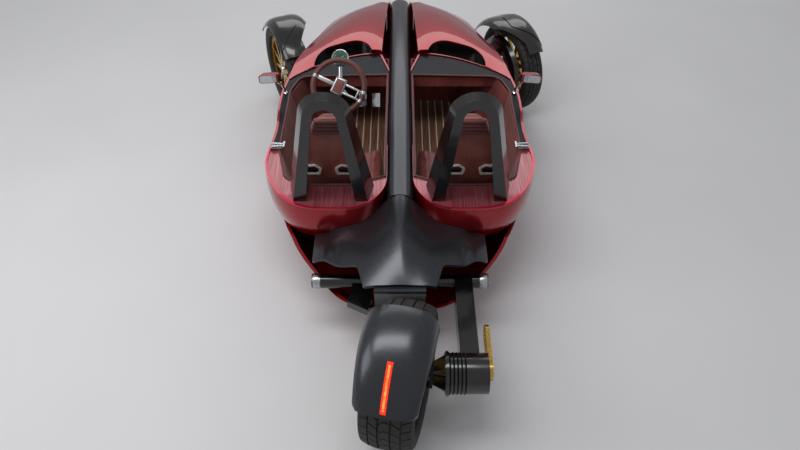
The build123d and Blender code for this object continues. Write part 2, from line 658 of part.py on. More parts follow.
# round cover behind the wheel, open in the middle for the arms
cover_section = [(-120, 140), (-120, 176), (-106, 214), (-80, 228)]
cover_section = cover_section + [(-80, 222), (-102, 208), (-114, 172), (-114, 140)]
cover_section = Polyline(*[(x, 0, r) for x, r in cover_section], close=True)
cover = revolve(Face(Wire(cover_section.edges())), Axis((0, 0, 0), (1, 0, 0)), 360)
cover_stay = box(-118, -FRONT_OFFSET - 36, 62, 100, 120, 160)
front_knuckle = upright + front_axle + bracket + cover_stay + cover


def place_front(shape, side):
    """Stand a unit drawn about its wheel centre on one front kingpin, turned to rest."""
    if side < 0:
        shape = other_side(shape)
    placed = Pos(side * (KINGPIN_X + FRONT_OFFSET), FRONT_AXLE_Y, FRONT_RADIUS) * shape
    return placed.rotate(Axis((side * KINGPIN_X, FRONT_AXLE_Y, 0), (0, 0, 1)), FRONT_STEER)


for side, word in ((1, "right"), (-1, "left")):
    save(place_front(front_tyre, side), f"front_tyre_{word}")
    save(place_front(front_rim, side), f"front_rim_{word}")
    save(place_front(front_knuckle, side), f"front_knuckle_{word}")
    save(place_front(front_fender, side), f"front_fender_{word}")


def wishbone(z, spread):
    """One control arm from the hull to a ball joint on the kingpin line."""
    eye = Pos(KINGPIN_X, FRONT_AXLE_Y, z) * Cylinder(22, 20)
    stem = box(590, KINGPIN_X, FRONT_AXLE_Y - 14, FRONT_AXLE_Y + 14, z - 10, z + 10)
    legs = [rod((600, FRONT_AXLE_Y, z), (360, FRONT_AXLE_Y + reach, z), 11) for reach in (-spread, spread)]
    return eye + stem + legs


arms = wishbone(FRONT_RADIUS - KINGPIN_HALF - 10.4, 120) + wishbone(FRONT_RADIUS + KINGPIN_HALF + 10.4, 120)
arms = arms - hull_block(-0.4) - pod_block(-0.4)
arm_solids = [s for s in arms.solids() if s.bounding_box().max.X > KINGPIN_X]
save(Compound(arm_solids), "wishbones_right")
save(other_side(Compound(arm_solids)), "wishbones_left")

# ---- rear unit ----------------------------------------------------------
rear_tyre = tyre(REAR_RADIUS, REAR_WIDTH, REAR_RIM)
rear_rim = rim_barrel(REAR_WIDTH, REAR_RIM, -74.0, 50.0, AXLE_RADIUS + BEARING)
rear_post = Cylinder(38, 2 * KINGPIN_HALF)
rear_axle = Pos(-45, 0, 0) * across(AXLE_RADIUS, 90)
REAR_FENDER_RADIUS = REAR_RADIUS + 55
REAR_FENDER_HALF = 158.0
rear_plan = [(160, 120), (159, -60), (134, -290), (96, -345)]
rear_plan = rear_plan + [(-x, y) for x, y in reversed(rear_plan)]
rear_plan = prism(rear_plan, 0, 500, {rear_plan[3]: 50.0, rear_plan[4]: 50.0})
rear_fender = fender_ring(REAR_FENDER_RADIUS, REAR_FENDER_HALF, 90, 8, -12, 61) & rear_plan
fender_arm = box(-12, 157, -90, -62, 68, 84) + box(-12, 12, -90, 0, 68, 84) + box(144, 157, -90, -62, 68, 330)
fender_arm = fender_arm - fender_ring(REAR_FENDER_RADIUS + 0.4, REAR_FENDER_HALF + 0.4, 90.6, 8.6, -13, 62)
fender_arm = fender_arm - fender_ring(REAR_FENDER_RADIUS + 60, REAR_FENDER_HALF + 60, 90, 60, -12, 62)
fender_arm = fender_arm.solids().sort_by(SortBy.VOLUME)[-1]
rear_knuckle = rear_post + rear_axle + fender_arm
lamp_strip = Pos(0, 0, REAR_FENDER_RADIUS + 1.8) * (Plane.XZ * Rectangle(24, 3))
tail_lamp = revolve(lamp_strip, Axis((0, 0, 0), (1, 0, 0)), 31).rotate(Axis.X, 27)


def place_rear(shape):
    placed = Pos(0, REAR_AXLE_Y, REAR_RADIUS) * shape
    return placed.rotate(Axis((0, REAR_AXLE_Y, 0), (0, 0, 1)), REAR_STEER)


save(place_rear(rear_tyre), "rear_tyre")
save(place_rear(rear_rim), "rear_rim")
save(place_rear(rear_knuckle), "rear_knuckle")
save(place_rear(rear_fender), "rear_fender")
save(place_rear(tail_lamp), "tail_lamp")

PIVOT = (-790.0, 322.0)    # cross tube that carries the rear arm: distance forward and height
MOTOR_RADIUS = 90.0
MOTOR_END_X = 387.0
centre = Pos(0, REAR_AXLE_Y, REAR_RADIUS)
neck = centre * (Pos(112, 0, 0) * across(50, 68))
cone = centre * (Plane.YZ * Pos(0, 0, 145) * Cone(50, 84, 57, align=(Align.CENTER, Align.CENTER, Align.MIN)))
lugs = []
for s in (-1, 1):
    z = s * (KINGPIN_HALF + LUG / 2 + 0.4)
    lugs.append(centre * (Pos(0, 0, z) * Cylinder(38, LUG) + Pos(45, 0, z) * Box(90, 60, LUG)))
web = centre * (Pos(84, 0, 0) * Box(14, 60, 2 * KINGPIN_HALF + 2 * LUG))
motor_case = centre * (Pos((MOTOR_END_X + 196) / 2, 0, 0) * across(MOTOR_RADIUS, MOTOR_END_X - 196))
flange = centre * (Pos(206, 0, 0) * across(MOTOR_RADIUS + 9, 12))
drive_motor = motor_case + flange + cone + neck + lugs + web
save(drive_motor, "drive_motor")
cross_tube = Pos(0, PIVOT[0], PIVOT[1]) * across(36, 870)
beam_side = [
    (PIVOT[0], PIVOT[1] - 46),
    (PIVOT[0], PIVOT[1] + 50),
    (REAR_AXLE_Y, REAR_RADIUS + 55),
    (REAR_AXLE_Y, REAR_RADIUS - 55),
]
beam_side = Polyline(*[(266, y, z) for y, z in beam_side], close=True)
beam = extrude(Face(Wire(beam_side.edges())), 86, dir=(1, 0, 0))
beam = beam - centre * across(MOTOR_RADIUS + 0.3, 1000)
stub = [(-235, -790), (-140, -790), (-135, -917), (-152, -990), (-255, -935), (-235, -867)]
swing_arm = cross_tube + beam + prism(stub, 300, 342)
save(swing_arm, "swing_arm")
loop = Pos(MOTOR_END_X + 9.3, -1232, 350) * Rot(0, 90, 0)
loop = loop * (SlotOverall(284, 96, rotation=90) - SlotOverall(250, 62, rotation=90))
save(extrude(loop, 9, both=True), "guard_link")

rear_frame = box(-50, 50, PIVOT[0] + 10, SPINE_REAR_Y - SEAM, 260, 400)
rear_frame = rear_frame - Pos(0, PIVOT[0], PIVOT[1]) * across(36.3, 880)
save(rear_frame, "rear_frame")
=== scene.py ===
"""Looks of an open two-seat electric tricycle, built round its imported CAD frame.

Metres, +Y to the front, +X to the vehicle's right, +Z up, ground at Z = 0.
"""
import json
import math

import bmesh
import bpy
from mathutils import Matrix, Vector


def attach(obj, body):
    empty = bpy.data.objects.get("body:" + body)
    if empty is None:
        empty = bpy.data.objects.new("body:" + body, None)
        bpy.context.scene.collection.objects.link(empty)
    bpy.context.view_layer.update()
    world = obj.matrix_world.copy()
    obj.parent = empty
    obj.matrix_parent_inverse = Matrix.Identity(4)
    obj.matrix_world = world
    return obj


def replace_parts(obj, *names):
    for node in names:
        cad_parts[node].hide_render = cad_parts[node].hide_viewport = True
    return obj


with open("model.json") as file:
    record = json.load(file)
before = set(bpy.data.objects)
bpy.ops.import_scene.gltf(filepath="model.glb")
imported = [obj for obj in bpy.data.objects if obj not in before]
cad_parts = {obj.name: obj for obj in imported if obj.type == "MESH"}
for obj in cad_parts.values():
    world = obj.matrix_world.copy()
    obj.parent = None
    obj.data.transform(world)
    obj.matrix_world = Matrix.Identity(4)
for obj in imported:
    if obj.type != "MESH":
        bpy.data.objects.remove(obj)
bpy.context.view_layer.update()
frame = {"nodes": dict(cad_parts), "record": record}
NODES = frame["nodes"]


# ---- small tools ---------------------------------------------------------
def linear(code):
    """An sRGB hex colour as linear RGBA."""
    parts = [int(code[i : i + 2], 16) / 255 for i in (1, 3, 5)]
    return [p / 12.92 if p <= 0.04045 else ((p + 0.055) / 1.055) ** 2.4 for p in parts] + [1.0]


def add(tree, kind, inputs=None, **settings):
    """One shader node with its settings; an input is a value or another node's output."""
    node = tree.nodes.new(kind)
    for name, value in settings.items():
        setattr(node, name, value)
    for name, value in (inputs or {}).items():
        if isinstance(value, bpy.types.NodeSocket):
            tree.links.new(value, node.inputs[name])
        else:
            node.inputs[name].default_value = value
    return node


def material(name):
    """A new node material: its tree, its surface shader and its object coordinates."""
    mat = bpy.data.materials.new(name)
    mat.use_nodes = True
    tree = mat.node_tree
    shader = tree.nodes["Principled BSDF"]
    place = add(tree, "ShaderNodeTexCoord").outputs["Object"]
    return mat, tree, shader, place


def ramp(tree, factor, low, high, start=0.0, end=1.0):
    """A colour that goes from low to high as factor goes from start to end."""
    node = add(tree, "ShaderNodeValToRGB", {"Fac": factor})
    node.color_ramp.elements[0].position = start
    node.color_ramp.elements[0].color = low
    node.color_ramp.elements[1].position = end
    node.color_ramp.elements[1].color = high
    return node.outputs["Color"]


def blend(tree, factor, low, high):
    """Mixes two colours, or a colour and another node's output, by a factor."""
    node = add(tree, "ShaderNodeMix", data_type="RGBA")
    for socket, value in (("Factor", factor), ("A", low), ("B", high)):
        if isinstance(value, bpy.types.NodeSocket):
            tree.links.new(value, node.inputs[socket])
        else:
            node.inputs[socket].default_value = value
    return node.outputs["Result"]


def grey(value):
    return (value, value, value, 1.0)


def set_shader(shader, **values):
    for name, value in values.items():
        shader.inputs[name.replace("_", " ")].default_value = value


def noise(tree, place, size_mm, detail=3.0, stretch=None):
    """Noise whose grains are about size_mm across, drawn out along an axis if asked."""
    if stretch:
        place = add(tree, "ShaderNodeMapping", {"Vector": place, "Scale": stretch}).outputs["Vector"]
    grain = {"Vector": place, "Scale": 1000.0 / size_mm, "Detail": detail}
    return add(tree, "ShaderNodeTexNoise", grain).outputs["Fac"]


def finish_with(tree, shader, colour, rough, height=None, depth=0.0004, strength=0.2):
    """Joins a colour, a roughness and, if there is one, a height to the shader."""
    tree.links.new(colour, shader.inputs["Base Color"])
    tree.links.new(rough, shader.inputs["Roughness"])
    if height:
        bump = add(tree, "ShaderNodeBump", {"Height": height, "Strength": strength, "Distance": depth})
        tree.links.new(bump.outputs["Normal"], shader.inputs["Normal"])


# ---- materials -----------------------------------------------------------
def candy_lacquer(name, decked=False):
    """Candy red car lacquer over silver flake under a clear coat: deep red, wine-dark where it turns away.

    On the rear pods the deck inside the lip is the same glossy red, with a painted reflection of the overhead light
    and the seats' ribs laid on it as pinker fore-and-aft streaks, and the lip carries a brighter painted highlight.
    """
    mat, tree, shader, place = material(name)
    flake = add(tree, "ShaderNodeTexVoronoi", {"Vector": place, "Scale": 900.0})
    colour = ramp(tree, flake.outputs["Color"], linear("#84000e"), linear("#ac0418"), 0.2, 0.9)
    rough = ramp(tree, flake.outputs["Distance"], grey(0.26), grey(0.34))
    if decked:
        height = add(tree, "ShaderNodeSeparateXYZ", {"Vector": place}).outputs["Z"]
        # painted highlight: the lip's top edge, from z 0.5995 up, is coloured a brighter crimson for the light it
        # catches
        over = {"Value": height, "From Min": 0.5995, "From Max": 0.603}
        lip = add(tree, "ShaderNodeMapRange", over).outputs["Result"]
        level = add(tree, "ShaderNodeMath", {0: height, 1: 0.598, 2: 0.0012}, operation="COMPARE").outputs["Value"]
        # painted reflection: pinker streaks along Y on the flat deck stand for the overhead light and the seats' ribs
        # mirrored in the gloss
        streak = noise(tree, place, 5.0, 4.0, (1.0, 0.03, 1.0))
        painted_deck_reflection = ramp(tree, streak, linear("#8a3a42"), linear("#bc6a72"), 0.32, 0.68)
        colour = blend(tree, lip, colour, linear("#c8123a"))
        colour = blend(tree, level, colour, painted_deck_reflection)
        rough = blend(tree, level, rough, grey(0.42))
    finish_with(tree, shader, colour, rough)
    set_shader(shader, Metallic=0.7, Coat_Weight=1.0, Coat_Roughness=0.03, Coat_IOR=1.42)
    return mat


def satin_graphite():
    """Graphite metallic satin paint on moulded panels: a soft broad highlight with a faint orange peel."""
    mat, tree, shader, place = material("satin_graphite")
    peel = noise(tree, place, 4.0, 2.0)
    rough = ramp(tree, peel, grey(0.27), grey(0.33), 0.3, 0.7)
    colour = ramp(tree, peel, linear("#36373c"), linear("#404147"), 0.3, 0.7)
    finish_with(tree, shader, colour, rough, peel, 0.0003, 0.04)
    set_shader(shader, Metallic=0.75, Coat_Weight=0.35, Coat_Roughness=0.18)
    return mat


def gloss_black():
    """Black polished lacquer on fenders, hoops and castings, with faint polishing haze."""
    mat, tree, shader, place = material("gloss_black")
    haze = noise(tree, place, 16.0, 4.0)
    rough = ramp(tree, haze, grey(0.18), grey(0.27), 0.3, 0.7)
    colour = ramp(tree, haze, linear("#070708"), linear("#0c0c0e"), 0.3, 0.7)
    finish_with(tree, shader, colour, rough)
    set_shader(shader, Coat_Weight=0.6, Coat_Roughness=0.08)
    return mat


def dash_lacquer():
    """Blue-black satin lacquer on the panel round the cockpit."""
    mat, tree, shader, place = material("dash_lacquer")
    haze = noise(tree, place, 60.0, 2.0)
    colour = ramp(tree, haze, linear("#080b14"), linear("#0d111c"), 0.3, 0.7)
    rough = ramp(tree, haze, grey(0.30), grey(0.36), 0.3, 0.7)
    finish_with(tree, shader, colour, rough)
    set_shader(shader, Specular_IOR_Level=0.14)
    return mat


def hide(name, dark, light, pebble_mm=2.4, sheen=0.12):
    """Cowhide: a fine pebbled grain, drawn coarser than life to show, under soft clouds of uneven colour and lighter
    streaks drawn out along Z that are painted sheen.
    """
    mat, tree, shader, place = material(name)
    pebble = add(tree, "ShaderNodeTexVoronoi", {"Vector": place, "Scale": 1000.0 / pebble_mm}, feature="SMOOTH_F1")
    cloud = noise(tree, place, 110.0, 5.0)
    # painted sheen: lighter streaks drawn out along Z stand for the sheen lines that light draws on leather; the
    # clouds are the hide's own uneven colour
    streak = noise(tree, place, 7.0, 3.0, (1.0, 1.0, 0.06))
    tone = add(tree, "ShaderNodeMath", {0: streak, 1: 0.30, 2: cloud}, operation="MULTIPLY_ADD")
    colour = ramp(tree, tone.outputs["Value"], linear(dark), linear(light), 0.38, 0.92)
    rough = ramp(tree, pebble.outputs["Distance"], grey(0.40), grey(0.56))
    finish_with(tree, shader, colour, rough, pebble.outputs["Distance"], 0.0006, 0.22)
    set_shader(shader, Sheen_Weight=sheen, Coat_Weight=0.08, Coat_Roughness=0.35)
    return mat


def striped_boards():
    """Oiled teak boards laid fore and aft with cream caulking strips 48 mm apart."""
    mat, tree, shader, place = material("striped_boards")
    grain = noise(tree, place, 7.0, 6.0, (1.0, 0.05, 1.0))
    wood = ramp(tree, grain, linear("#5a3a2c"), linear("#8c6650"), 0.3, 0.7)
    across = add(tree, "ShaderNodeSeparateXYZ", {"Vector": place}).outputs["X"]
    swing = add(tree, "ShaderNodeMath", {0: across, 1: 0.024}, operation="PINGPONG").outputs["Value"]
    strip = add(tree, "ShaderNodeMath", {0: swing, 1: 0.0032}, operation="LESS_THAN").outputs["Value"]
    colour = blend(tree, strip, wood, linear("#e6d2b8"))
    rough = ramp(tree, grain, grey(0.42), grey(0.60), 0.3, 0.7)
    step = {"Value": swing, "From Min": 0.0028, "From Max": 0.0048}
    edge = add(tree, "ShaderNodeMapRange", step).outputs["Result"]
    finish_with(tree, shader, colour, rough, edge, 0.0012, 0.5)
    return mat


def tyre_rubber():
    """Carbon-black tyre rubber, dull grey-brown with a little dust in the pores."""
    mat, tree, shader, place = material("tyre_rubber")
    dust = noise(tree, place, 25.0, 6.0)
    colour = ramp(tree, dust, linear("#1b1a19"), linear("#33302d"), 0.35, 0.75)
    rough = ramp(tree, dust, grey(0.58), grey(0.78), 0.3, 0.7)
    finish_with(tree, shader, colour, rough, noise(tree, place, 1.6, 2.0), 0.0003, 0.25)
    return mat


def metal(name, low, high, rough_low, rough_high, grain_mm=5.5, stretch=None):
    """A bare or anodised metal with fine variation from turning or brushing."""
    mat, tree, shader, place = material(name)
    grain = noise(tree, place, grain_mm, 3.0, stretch)
    colour = ramp(tree, grain, linear(low), linear(high), 0.3, 0.7)
    rough = ramp(tree, grain, grey(rough_low), grey(rough_high), 0.3, 0.7)
    finish_with(tree, shader, colour, rough)
    set_shader(shader, Metallic=1.0)
    return mat


def lit_lens(name, low, high, strength):
    """Lamp lens in red polycarbonate lit from behind by a row of diodes."""
    mat, tree, shader, place = material(name)
    cells = noise(tree, place, 12.0, 2.0)
    colour = ramp(tree, cells, linear(low), linear(high), 0.35, 0.65)
    tree.links.new(colour, shader.inputs["Emission Color"])
    tree.links.new(colour, shader.inputs["Base Color"])
    set_shader(shader, Emission_Strength=strength, Roughness=0.2, Coat_Weight=0.6)
    return mat


def clear_lens():
    """Clear polycarbonate headlamp lens over a faceted bright reflector."""
    mat, tree, shader, place = material("clear_lens")
    facet = add(tree, "ShaderNodeTexVoronoi", {"Vector": place, "Scale": 60.0})
    colour = ramp(tree, facet.outputs["Distance"], linear("#aab2ba"), linear("#eef3f6"))
    tree.links.new(colour, shader.inputs["Base Color"])
    set_shader(shader, Metallic=0.4, Roughness=0.1, Coat_Weight=1.0)
    return mat


def mirror_glass():
    """Silvered flat glass with a faint bluish tint and dust."""
    mat, tree, shader, place = material("mirror_glass")
    dust = noise(tree, place, 20.0, 4.0)
    colour = ramp(tree, dust, linear("#b9c2c8"), linear("#ccd4d9"), 0.3, 0.7)
    finish_with(tree, shader, colour, ramp(tree, dust, grey(0.02), grey(0.07), 0.3, 0.8))
    set_shader(shader, Metallic=1.0)
    return mat


def enamel_dial(name, low, high):
    """Printed enamel instrument face under glass."""
    mat, tree, shader, place = material(name)
    haze = noise(tree, place, 20.0)
    colour = ramp(tree, haze, linear(low), linear(high), 0.3, 0.7)
    finish_with(tree, shader, colour, ramp(tree, haze, grey(0.12), grey(0.2), 0.3, 0.7))
    set_shader(shader, Coat_Weight=1.0)
    return mat


PAINT = candy_lacquer("candy_lacquer")
POD_PAINT = candy_lacquer("candy_lacquer_with_painted_deck_reflection", decked=True)
GRAPHITE = satin_graphite()
BLACK = gloss_black()
DASH = dash_lacquer()
LEATHER = hide("oxblood_leather", "#561c18", "#8a453d")
COGNAC = hide("cognac_shell_leather", "#5e2420", "#94503f", 3.0, 0.2)
MAROON = hide("maroon_roll_leather", "#3a0d12", "#6c2a2c")
HAVANA = hide("havana_wheel_leather", "#3a1510", "#6e3226", 1.6)
BOARDS = striped_boards()
RUBBER = tyre_rubber()
GOLD = metal("gold_anodised_aluminium", "#b08c3c", "#e0bd66", 0.20, 0.30)
CHROME = metal("polished_chrome", "#c8c8ca", "#e2e2e4", 0.05, 0.10, 25.0)
SILVER = metal("satin_aluminium", "#a9abad", "#c6c8ca", 0.22, 0.34)
BEZEL = metal("bead_blasted_zinc", "#d6d7d8", "#ececec", 0.42, 0.52, 2.0)
BEZEL.node_tree.nodes["Principled BSDF"].inputs["Metallic"].default_value = 0.4
IRON = metal("black_cast_iron", "#17181a", "#232427", 0.30, 0.45)
LIT = lit_lens("lit_red_lens", "#d01808", "#ff3010", 0.9)
GLOW = lit_lens("lit_amber_core", "#ff4a12", "#ff7030", 2.4)
LENS = clear_lens()
GLASS = mirror_glass()
DIAL = enamel_dial("green_enamel_dial", "#0c3b33", "#14584b")
IVORY = enamel_dial("ivory_enamel_marks", "#d8dcd2", "#eef0e8")

FINISH = {
    "candy_red": PAINT,
    "satin_black": GRAPHITE,
    "gloss_black": BLACK,
    "dash_black": DASH,
    "leather": LEATHER,
    "boards": BOARDS,
    "tyre": RUBBER,
    "rim_metal": GOLD,
    "steel": IRON,
    "chrome": CHROME,
    "gold": GOLD,
    "lamp_red": LIT,
    "lamp_clear": LENS,
    "gauge_glass": DIAL,
    "battery": BLACK,
    "duct_black": BLACK,
}
OWN_FINISH = {
    "rear_pod_left": POD_PAINT,
    "rear_pod_right": POD_PAINT,
    "front_knuckle_left": BLACK,
    "front_knuckle_right": BLACK,
}
for part in frame["record"]["subparts"]:
    target = NODES[part["node"]]
    target.data.materials.clear()
    target.data.materials.append(OWN_FINISH.get(part["node"], FINISH[part["material_slot"]]))


# ---- shapes ---------------------------------------------------------------
ROUND = {"offset_type": "OFFSET", "profile": 0.5, "material": -1, "clamp_overlap": True}


def turned(profile, steps=64):
    """A ring or disc turned about the X axis from points of (along, radius)."""
    bm = bmesh.new()
    verts = [bm.verts.new((x, 0, r)) for x, r in profile]
    edges = [bm.edges.new(pair) for pair in zip(verts, verts[1:])]
    spin = {"cent": (0, 0, 0), "axis": (1, 0, 0), "angle": 2 * math.pi, "steps": steps, "use_merge": True}
    bmesh.ops.spin(bm, geom=verts + edges, **spin)
    bmesh.ops.remove_doubles(bm, verts=bm.verts, dist=1e-5)
    return bm


def block(size, radius=0.0, segments=3):
    """A box about the origin with rounded edges."""
    bm = bmesh.new()
    bmesh.ops.create_cube(bm, size=1.0)
    bmesh.ops.scale(bm, vec=size, verts=bm.verts)
    if radius:
        round_edges(bm, bm.edges[:], radius, segments)
    return bm


def round_edges(bm, edges, radius, segments=3):
    bmesh.ops.bevel(bm, geom=edges, offset=radius, segments=segments, affect="EDGES", **ROUND)


def sharp_edges(bm, degrees=40.0):
    limit = math.radians(degrees)
    return [e for e in bm.edges if len(e.link_faces) == 2 and e.calc_face_angle() > limit]


def plate(outline, depth, corner=0.0, corner_segments=4):
    """A flat plate over an outline in the XY plane, from z = 0 up to depth, its corners rounded in plan."""
    bm = bmesh.new()
    face = bm.faces.new([bm.verts.new((x, y, 0)) for x, y in outline])
    if corner:
        corners = face.verts[:]
        bmesh.ops.bevel(bm, geom=corners, offset=corner, segments=corner_segments, affect="VERTICES", **ROUND)
    bm.faces.ensure_lookup_table()
    pushed = bmesh.ops.extrude_face_region(bm, geom=bm.faces[:])
    top = [g for g in pushed["geom"] if isinstance(g, bmesh.types.BMVert)]
    bmesh.ops.translate(bm, vec=(0, 0, depth), verts=top)
    bmesh.ops.recalc_face_normals(bm, faces=bm.faces)
    return bm


def put(bm, part, place):
    """Moves a part to its place and adds it to a bmesh."""
    bmesh.ops.transform(part, matrix=place, verts=part.verts)
    if place.determinant() < 0:
        bmesh.ops.reverse_faces(part, faces=part.faces)
    mesh = bpy.data.meshes.new("part")
    part.to_mesh(mesh)
    part.free()
    bm.from_mesh(mesh)
    bpy.data.meshes.remove(mesh)


def shift(x, y, z):
    return Matrix.Translation((x, y, z))


def turn(degrees, axis):
    return Matrix.Rotation(math.radians(degrees), 4, axis)


def finish_piece(name, bm, finish, body, crease=38.0):
    """Makes an object of a bmesh, smooth but for its creases, that rides on a body."""
    bmesh.ops.recalc_face_normals(bm, faces=bm.faces)
    mesh = bpy.data.meshes.new(name)
    bm.to_mesh(mesh)
    bm.free()
    for face in mesh.polygons:
        face.use_smooth = True
    mesh.set_sharp_from_angle(angle=math.radians(crease))
    mesh.materials.append(finish)
    piece = bpy.data.objects.new(name, mesh)
    bpy.context.scene.collection.objects.link(piece)
    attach(piece, body)
    return piece


def tube(points, radius):
    """A round bar along a smooth line through a few points, as a bmesh."""
    line = bpy.data.curves.new("line", "CURVE")
    line.dimensions = "3D"
    line.bevel_depth = radius
    line.bevel_resolution = 6
    line.resolution_u = 12
    line.use_fill_caps = True
    spline = line.splines.new("NURBS")
    spline.points.add(len(points) - 1)
    for spot, point in zip(spline.points, points):
        spot.co = (*point, 1.0)
    spline.order_u = 3
    spline.use_endpoint_u = True
    holder = bpy.data.objects.new("line", line)
    mesh = bpy.data.meshes.new_from_object(holder)
    bm = bmesh.new()
    bm.from_mesh(mesh)
    bpy.data.objects.remove(holder)
    bpy.data.curves.remove(line)
    bpy.data.meshes.remove(mesh)
    bmesh.ops.remove_doubles(bm, verts=bm.verts, dist=1e-6)
    return bm


VOXEL = 0.006
PRESSURE = 3.0
CLOTH_FRAMES = 20
CUSHION_CAP = 0.008        # furthest a point of the cushion may move
BACKREST_CAP = 0.007


def puff(bm, cap):
    """A closed shape blown up a little as cloth, no point moving further than cap."""
    mesh = bpy.data.meshes.new("puff")
    bm.to_mesh(mesh)
    bm.free()
    pad = bpy.data.objects.new("puff", mesh)
    scene = bpy.context.scene
    scene.collection.objects.link(pad)
    remesh = pad.modifiers.new("remesh", "REMESH")
    remesh.mode = "VOXEL"
    remesh.voxel_size = VOXEL
    graph = bpy.context.evaluated_depsgraph_get()
    mesh = bpy.data.meshes.new_from_object(pad.evaluated_get(graph))
    pad.modifiers.clear()
    pad.data = mesh
    rest = [v.co.copy() for v in mesh.vertices]
    cloth = pad.modifiers.new("cloth", "CLOTH")
    cloth.settings.use_pressure = True
    cloth.settings.uniform_pressure_force = PRESSURE
    cloth.settings.effector_weights.gravity = 0.0
    cloth.settings.quality = 4
    for number in range(1, CLOTH_FRAMES + 1):
        scene.frame_set(number)
    graph = bpy.context.evaluated_depsgraph_get()
    blown = bpy.data.meshes.new_from_object(pad.evaluated_get(graph))
    pad.modifiers.clear()
    for vert, start, moved in zip(mesh.vertices, rest, blown.vertices):
        step = moved.co - start
        if step.length > cap:
            step = step * (cap / step.length)
        vert.co = start + step
    scene.frame_set(1)
    done = bmesh.new()
    done.from_mesh(mesh)
    bpy.data.objects.remove(pad)
    for _ in range(3):
        bmesh.ops.smooth_vert(done, verts=done.verts, factor=0.5, use_axis_x=True, use_axis_y=True, use_axis_z=True)
    return done


BOTH = ((1, "right"), (-1, "left"))
MIRROR = Matrix.Scale(-1, 4, (1, 0, 0))


def side_place(side):
    return MIRROR if side < 0 else Matrix()


# ---- seats ----------------------------------------------------------------
SEAT_X = 0.345
BACK_LEAN = 4.52           # degrees
BACK_OUTLINE = [(0.060, 0.176), (0.160, 0.340), (0.196, 0.560), (0.125, 0.800), (0.062, 1.000)]


def back_outline(shrink, low, high):
    """Half widths of the backrest between two heights, walked round as an outline."""
    def half(z):
        for (x0, z0), (x1, z1) in zip(BACK_OUTLINE, BACK_OUTLINE[1:]):
            if z <= z1:
                return x0 + (x1 - x0) * (z - z0) / (z1 - z0) - shrink
        return BACK_OUTLINE[-1][0] - shrink
    heights = [low] + [z for x, z in BACK_OUTLINE if low < z < high] + [high]
    right = [(half(z), z) for z in heights]
    return right + [(-x, z) for x, z in reversed(right)]


def seat_place():
    """From a plate drawn flat with Y up the backrest to the leaning backrest."""
    lean = shift(0, -0.3, 0.2) @ turn(BACK_LEAN, "X") @ shift(0, 0.3, -0.2)
    return shift(SEAT_X, 0, 0) @ lean


UPRIGHT = turn(90, "X")    # stands a plate drawn in XY up in XZ; its depth runs to -Y


def seat_shell(side, word):
    """Leather-wrapped shell: rounded back plate, and its base with a wider lip."""
    bm = bmesh.new()
    back = plate(back_outline(0.0, 0.178, 0.998), 0.021, 0.035, 5)
    round_edges(back, sharp_edges(back, 50), 0.007, 4)
    put(bm, back, seat_place() @ shift(0, -0.2805, 0) @ UPRIGHT)
    base = block((0.305, 0.478, 0.085), 0.012, 4)
    put(bm, base, shift(0.2655, -0.0475, 0.2025))
    lip = block((0.366, 0.478, 0.034), 0.012, 4)
    put(bm, lip, shift(0.295, -0.0475, 0.2325))
    bmesh.ops.transform(bm, matrix=side_place(side), verts=bm.verts)
    shell = finish_piece(f"seat_shell_leather_{word}", bm, COGNAC, "chassis")
    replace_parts(shell, f"seat_shell_{word}")


def belt_slots(side, word):
    """Polished bezels round the two belt slots in the shell's back, each with a gloss black plate inside as painted
    shade for the depth of the slot.
    """
    frames, wells = bmesh.new(), bmesh.new()
    outline = [(-0.042, -0.034), (0.038, -0.034), (0.048, 0.006), (0.016, 0.034), (-0.042, 0.024)]
    for x, hand in ((0.099, -1), (-0.062, 1)):
        place = seat_place() @ shift(x, -0.3005, 0.668) @ UPRIGHT @ Matrix.Scale(hand, 4, (1, 0, 0))
        bezel = plate(outline, 0.009, 0.006)
        top = max(bezel.faces, key=lambda f: f.calc_center_median().z)
        bmesh.ops.inset_region(bezel, faces=[top], thickness=0.009)
        bmesh.ops.inset_region(bezel, faces=[top], thickness=0.0008, depth=-0.006)
        put(frames, bezel, place)
        # painted shade: a gloss black plate in each bezel's recess stands for the shade inside the slot
        well = plate([(x * 0.70, y * 0.66) for x, y in outline], 0.0042, 0.004)
        put(wells, well, place)
    kinds = (("belt_bezels", frames, BEZEL, "chrome"), ("belt_slot_shade_plates", wells, BLACK, "gloss_black"))
    for name, bm, finish, slot in kinds:
        bmesh.ops.transform(bm, matrix=side_place(side), verts=bm.verts)
        finish_piece(f"{name}_{word}", bm, finish, "chassis")


def cushions(side, word):
    """Seat cushion: a crowned block with a fluted middle, blown up a little as cloth."""
    bm = block((0.384, 0.450, 0.115), 0.030, 5)
    bmesh.ops.subdivide_edges(bm, edges=bm.edges[:], cuts=3, use_grid_fill=True)
    bmesh.ops.translate(bm, vec=(0.294, -0.027, 0.3165), verts=bm.verts)
    pad = puff(bm, CUSHION_CAP)
    for vert in pad.verts:
        x, y, z = vert.co
        if z > 0.34:
            across = (x - 0.294) / 0.19
            flute = abs(math.sin(math.pi * (x - 0.294) / 0.045)) if abs(across) < 0.62 else 1.0
            seam = 1.0 - min(1.0, abs(abs(across) - 0.66) / 0.03)
            vert.co.z -= 0.006 * (1 - flute) ** 2 + 0.007 * max(0.0, seam)
            if abs(across) < 0.66:
                vert.co.z -= 0.006
    bmesh.ops.transform(pad, matrix=side_place(side), verts=pad.verts)
    return finish_piece(f"seat_cushion_{word}", pad, LEATHER, "chassis", 80)


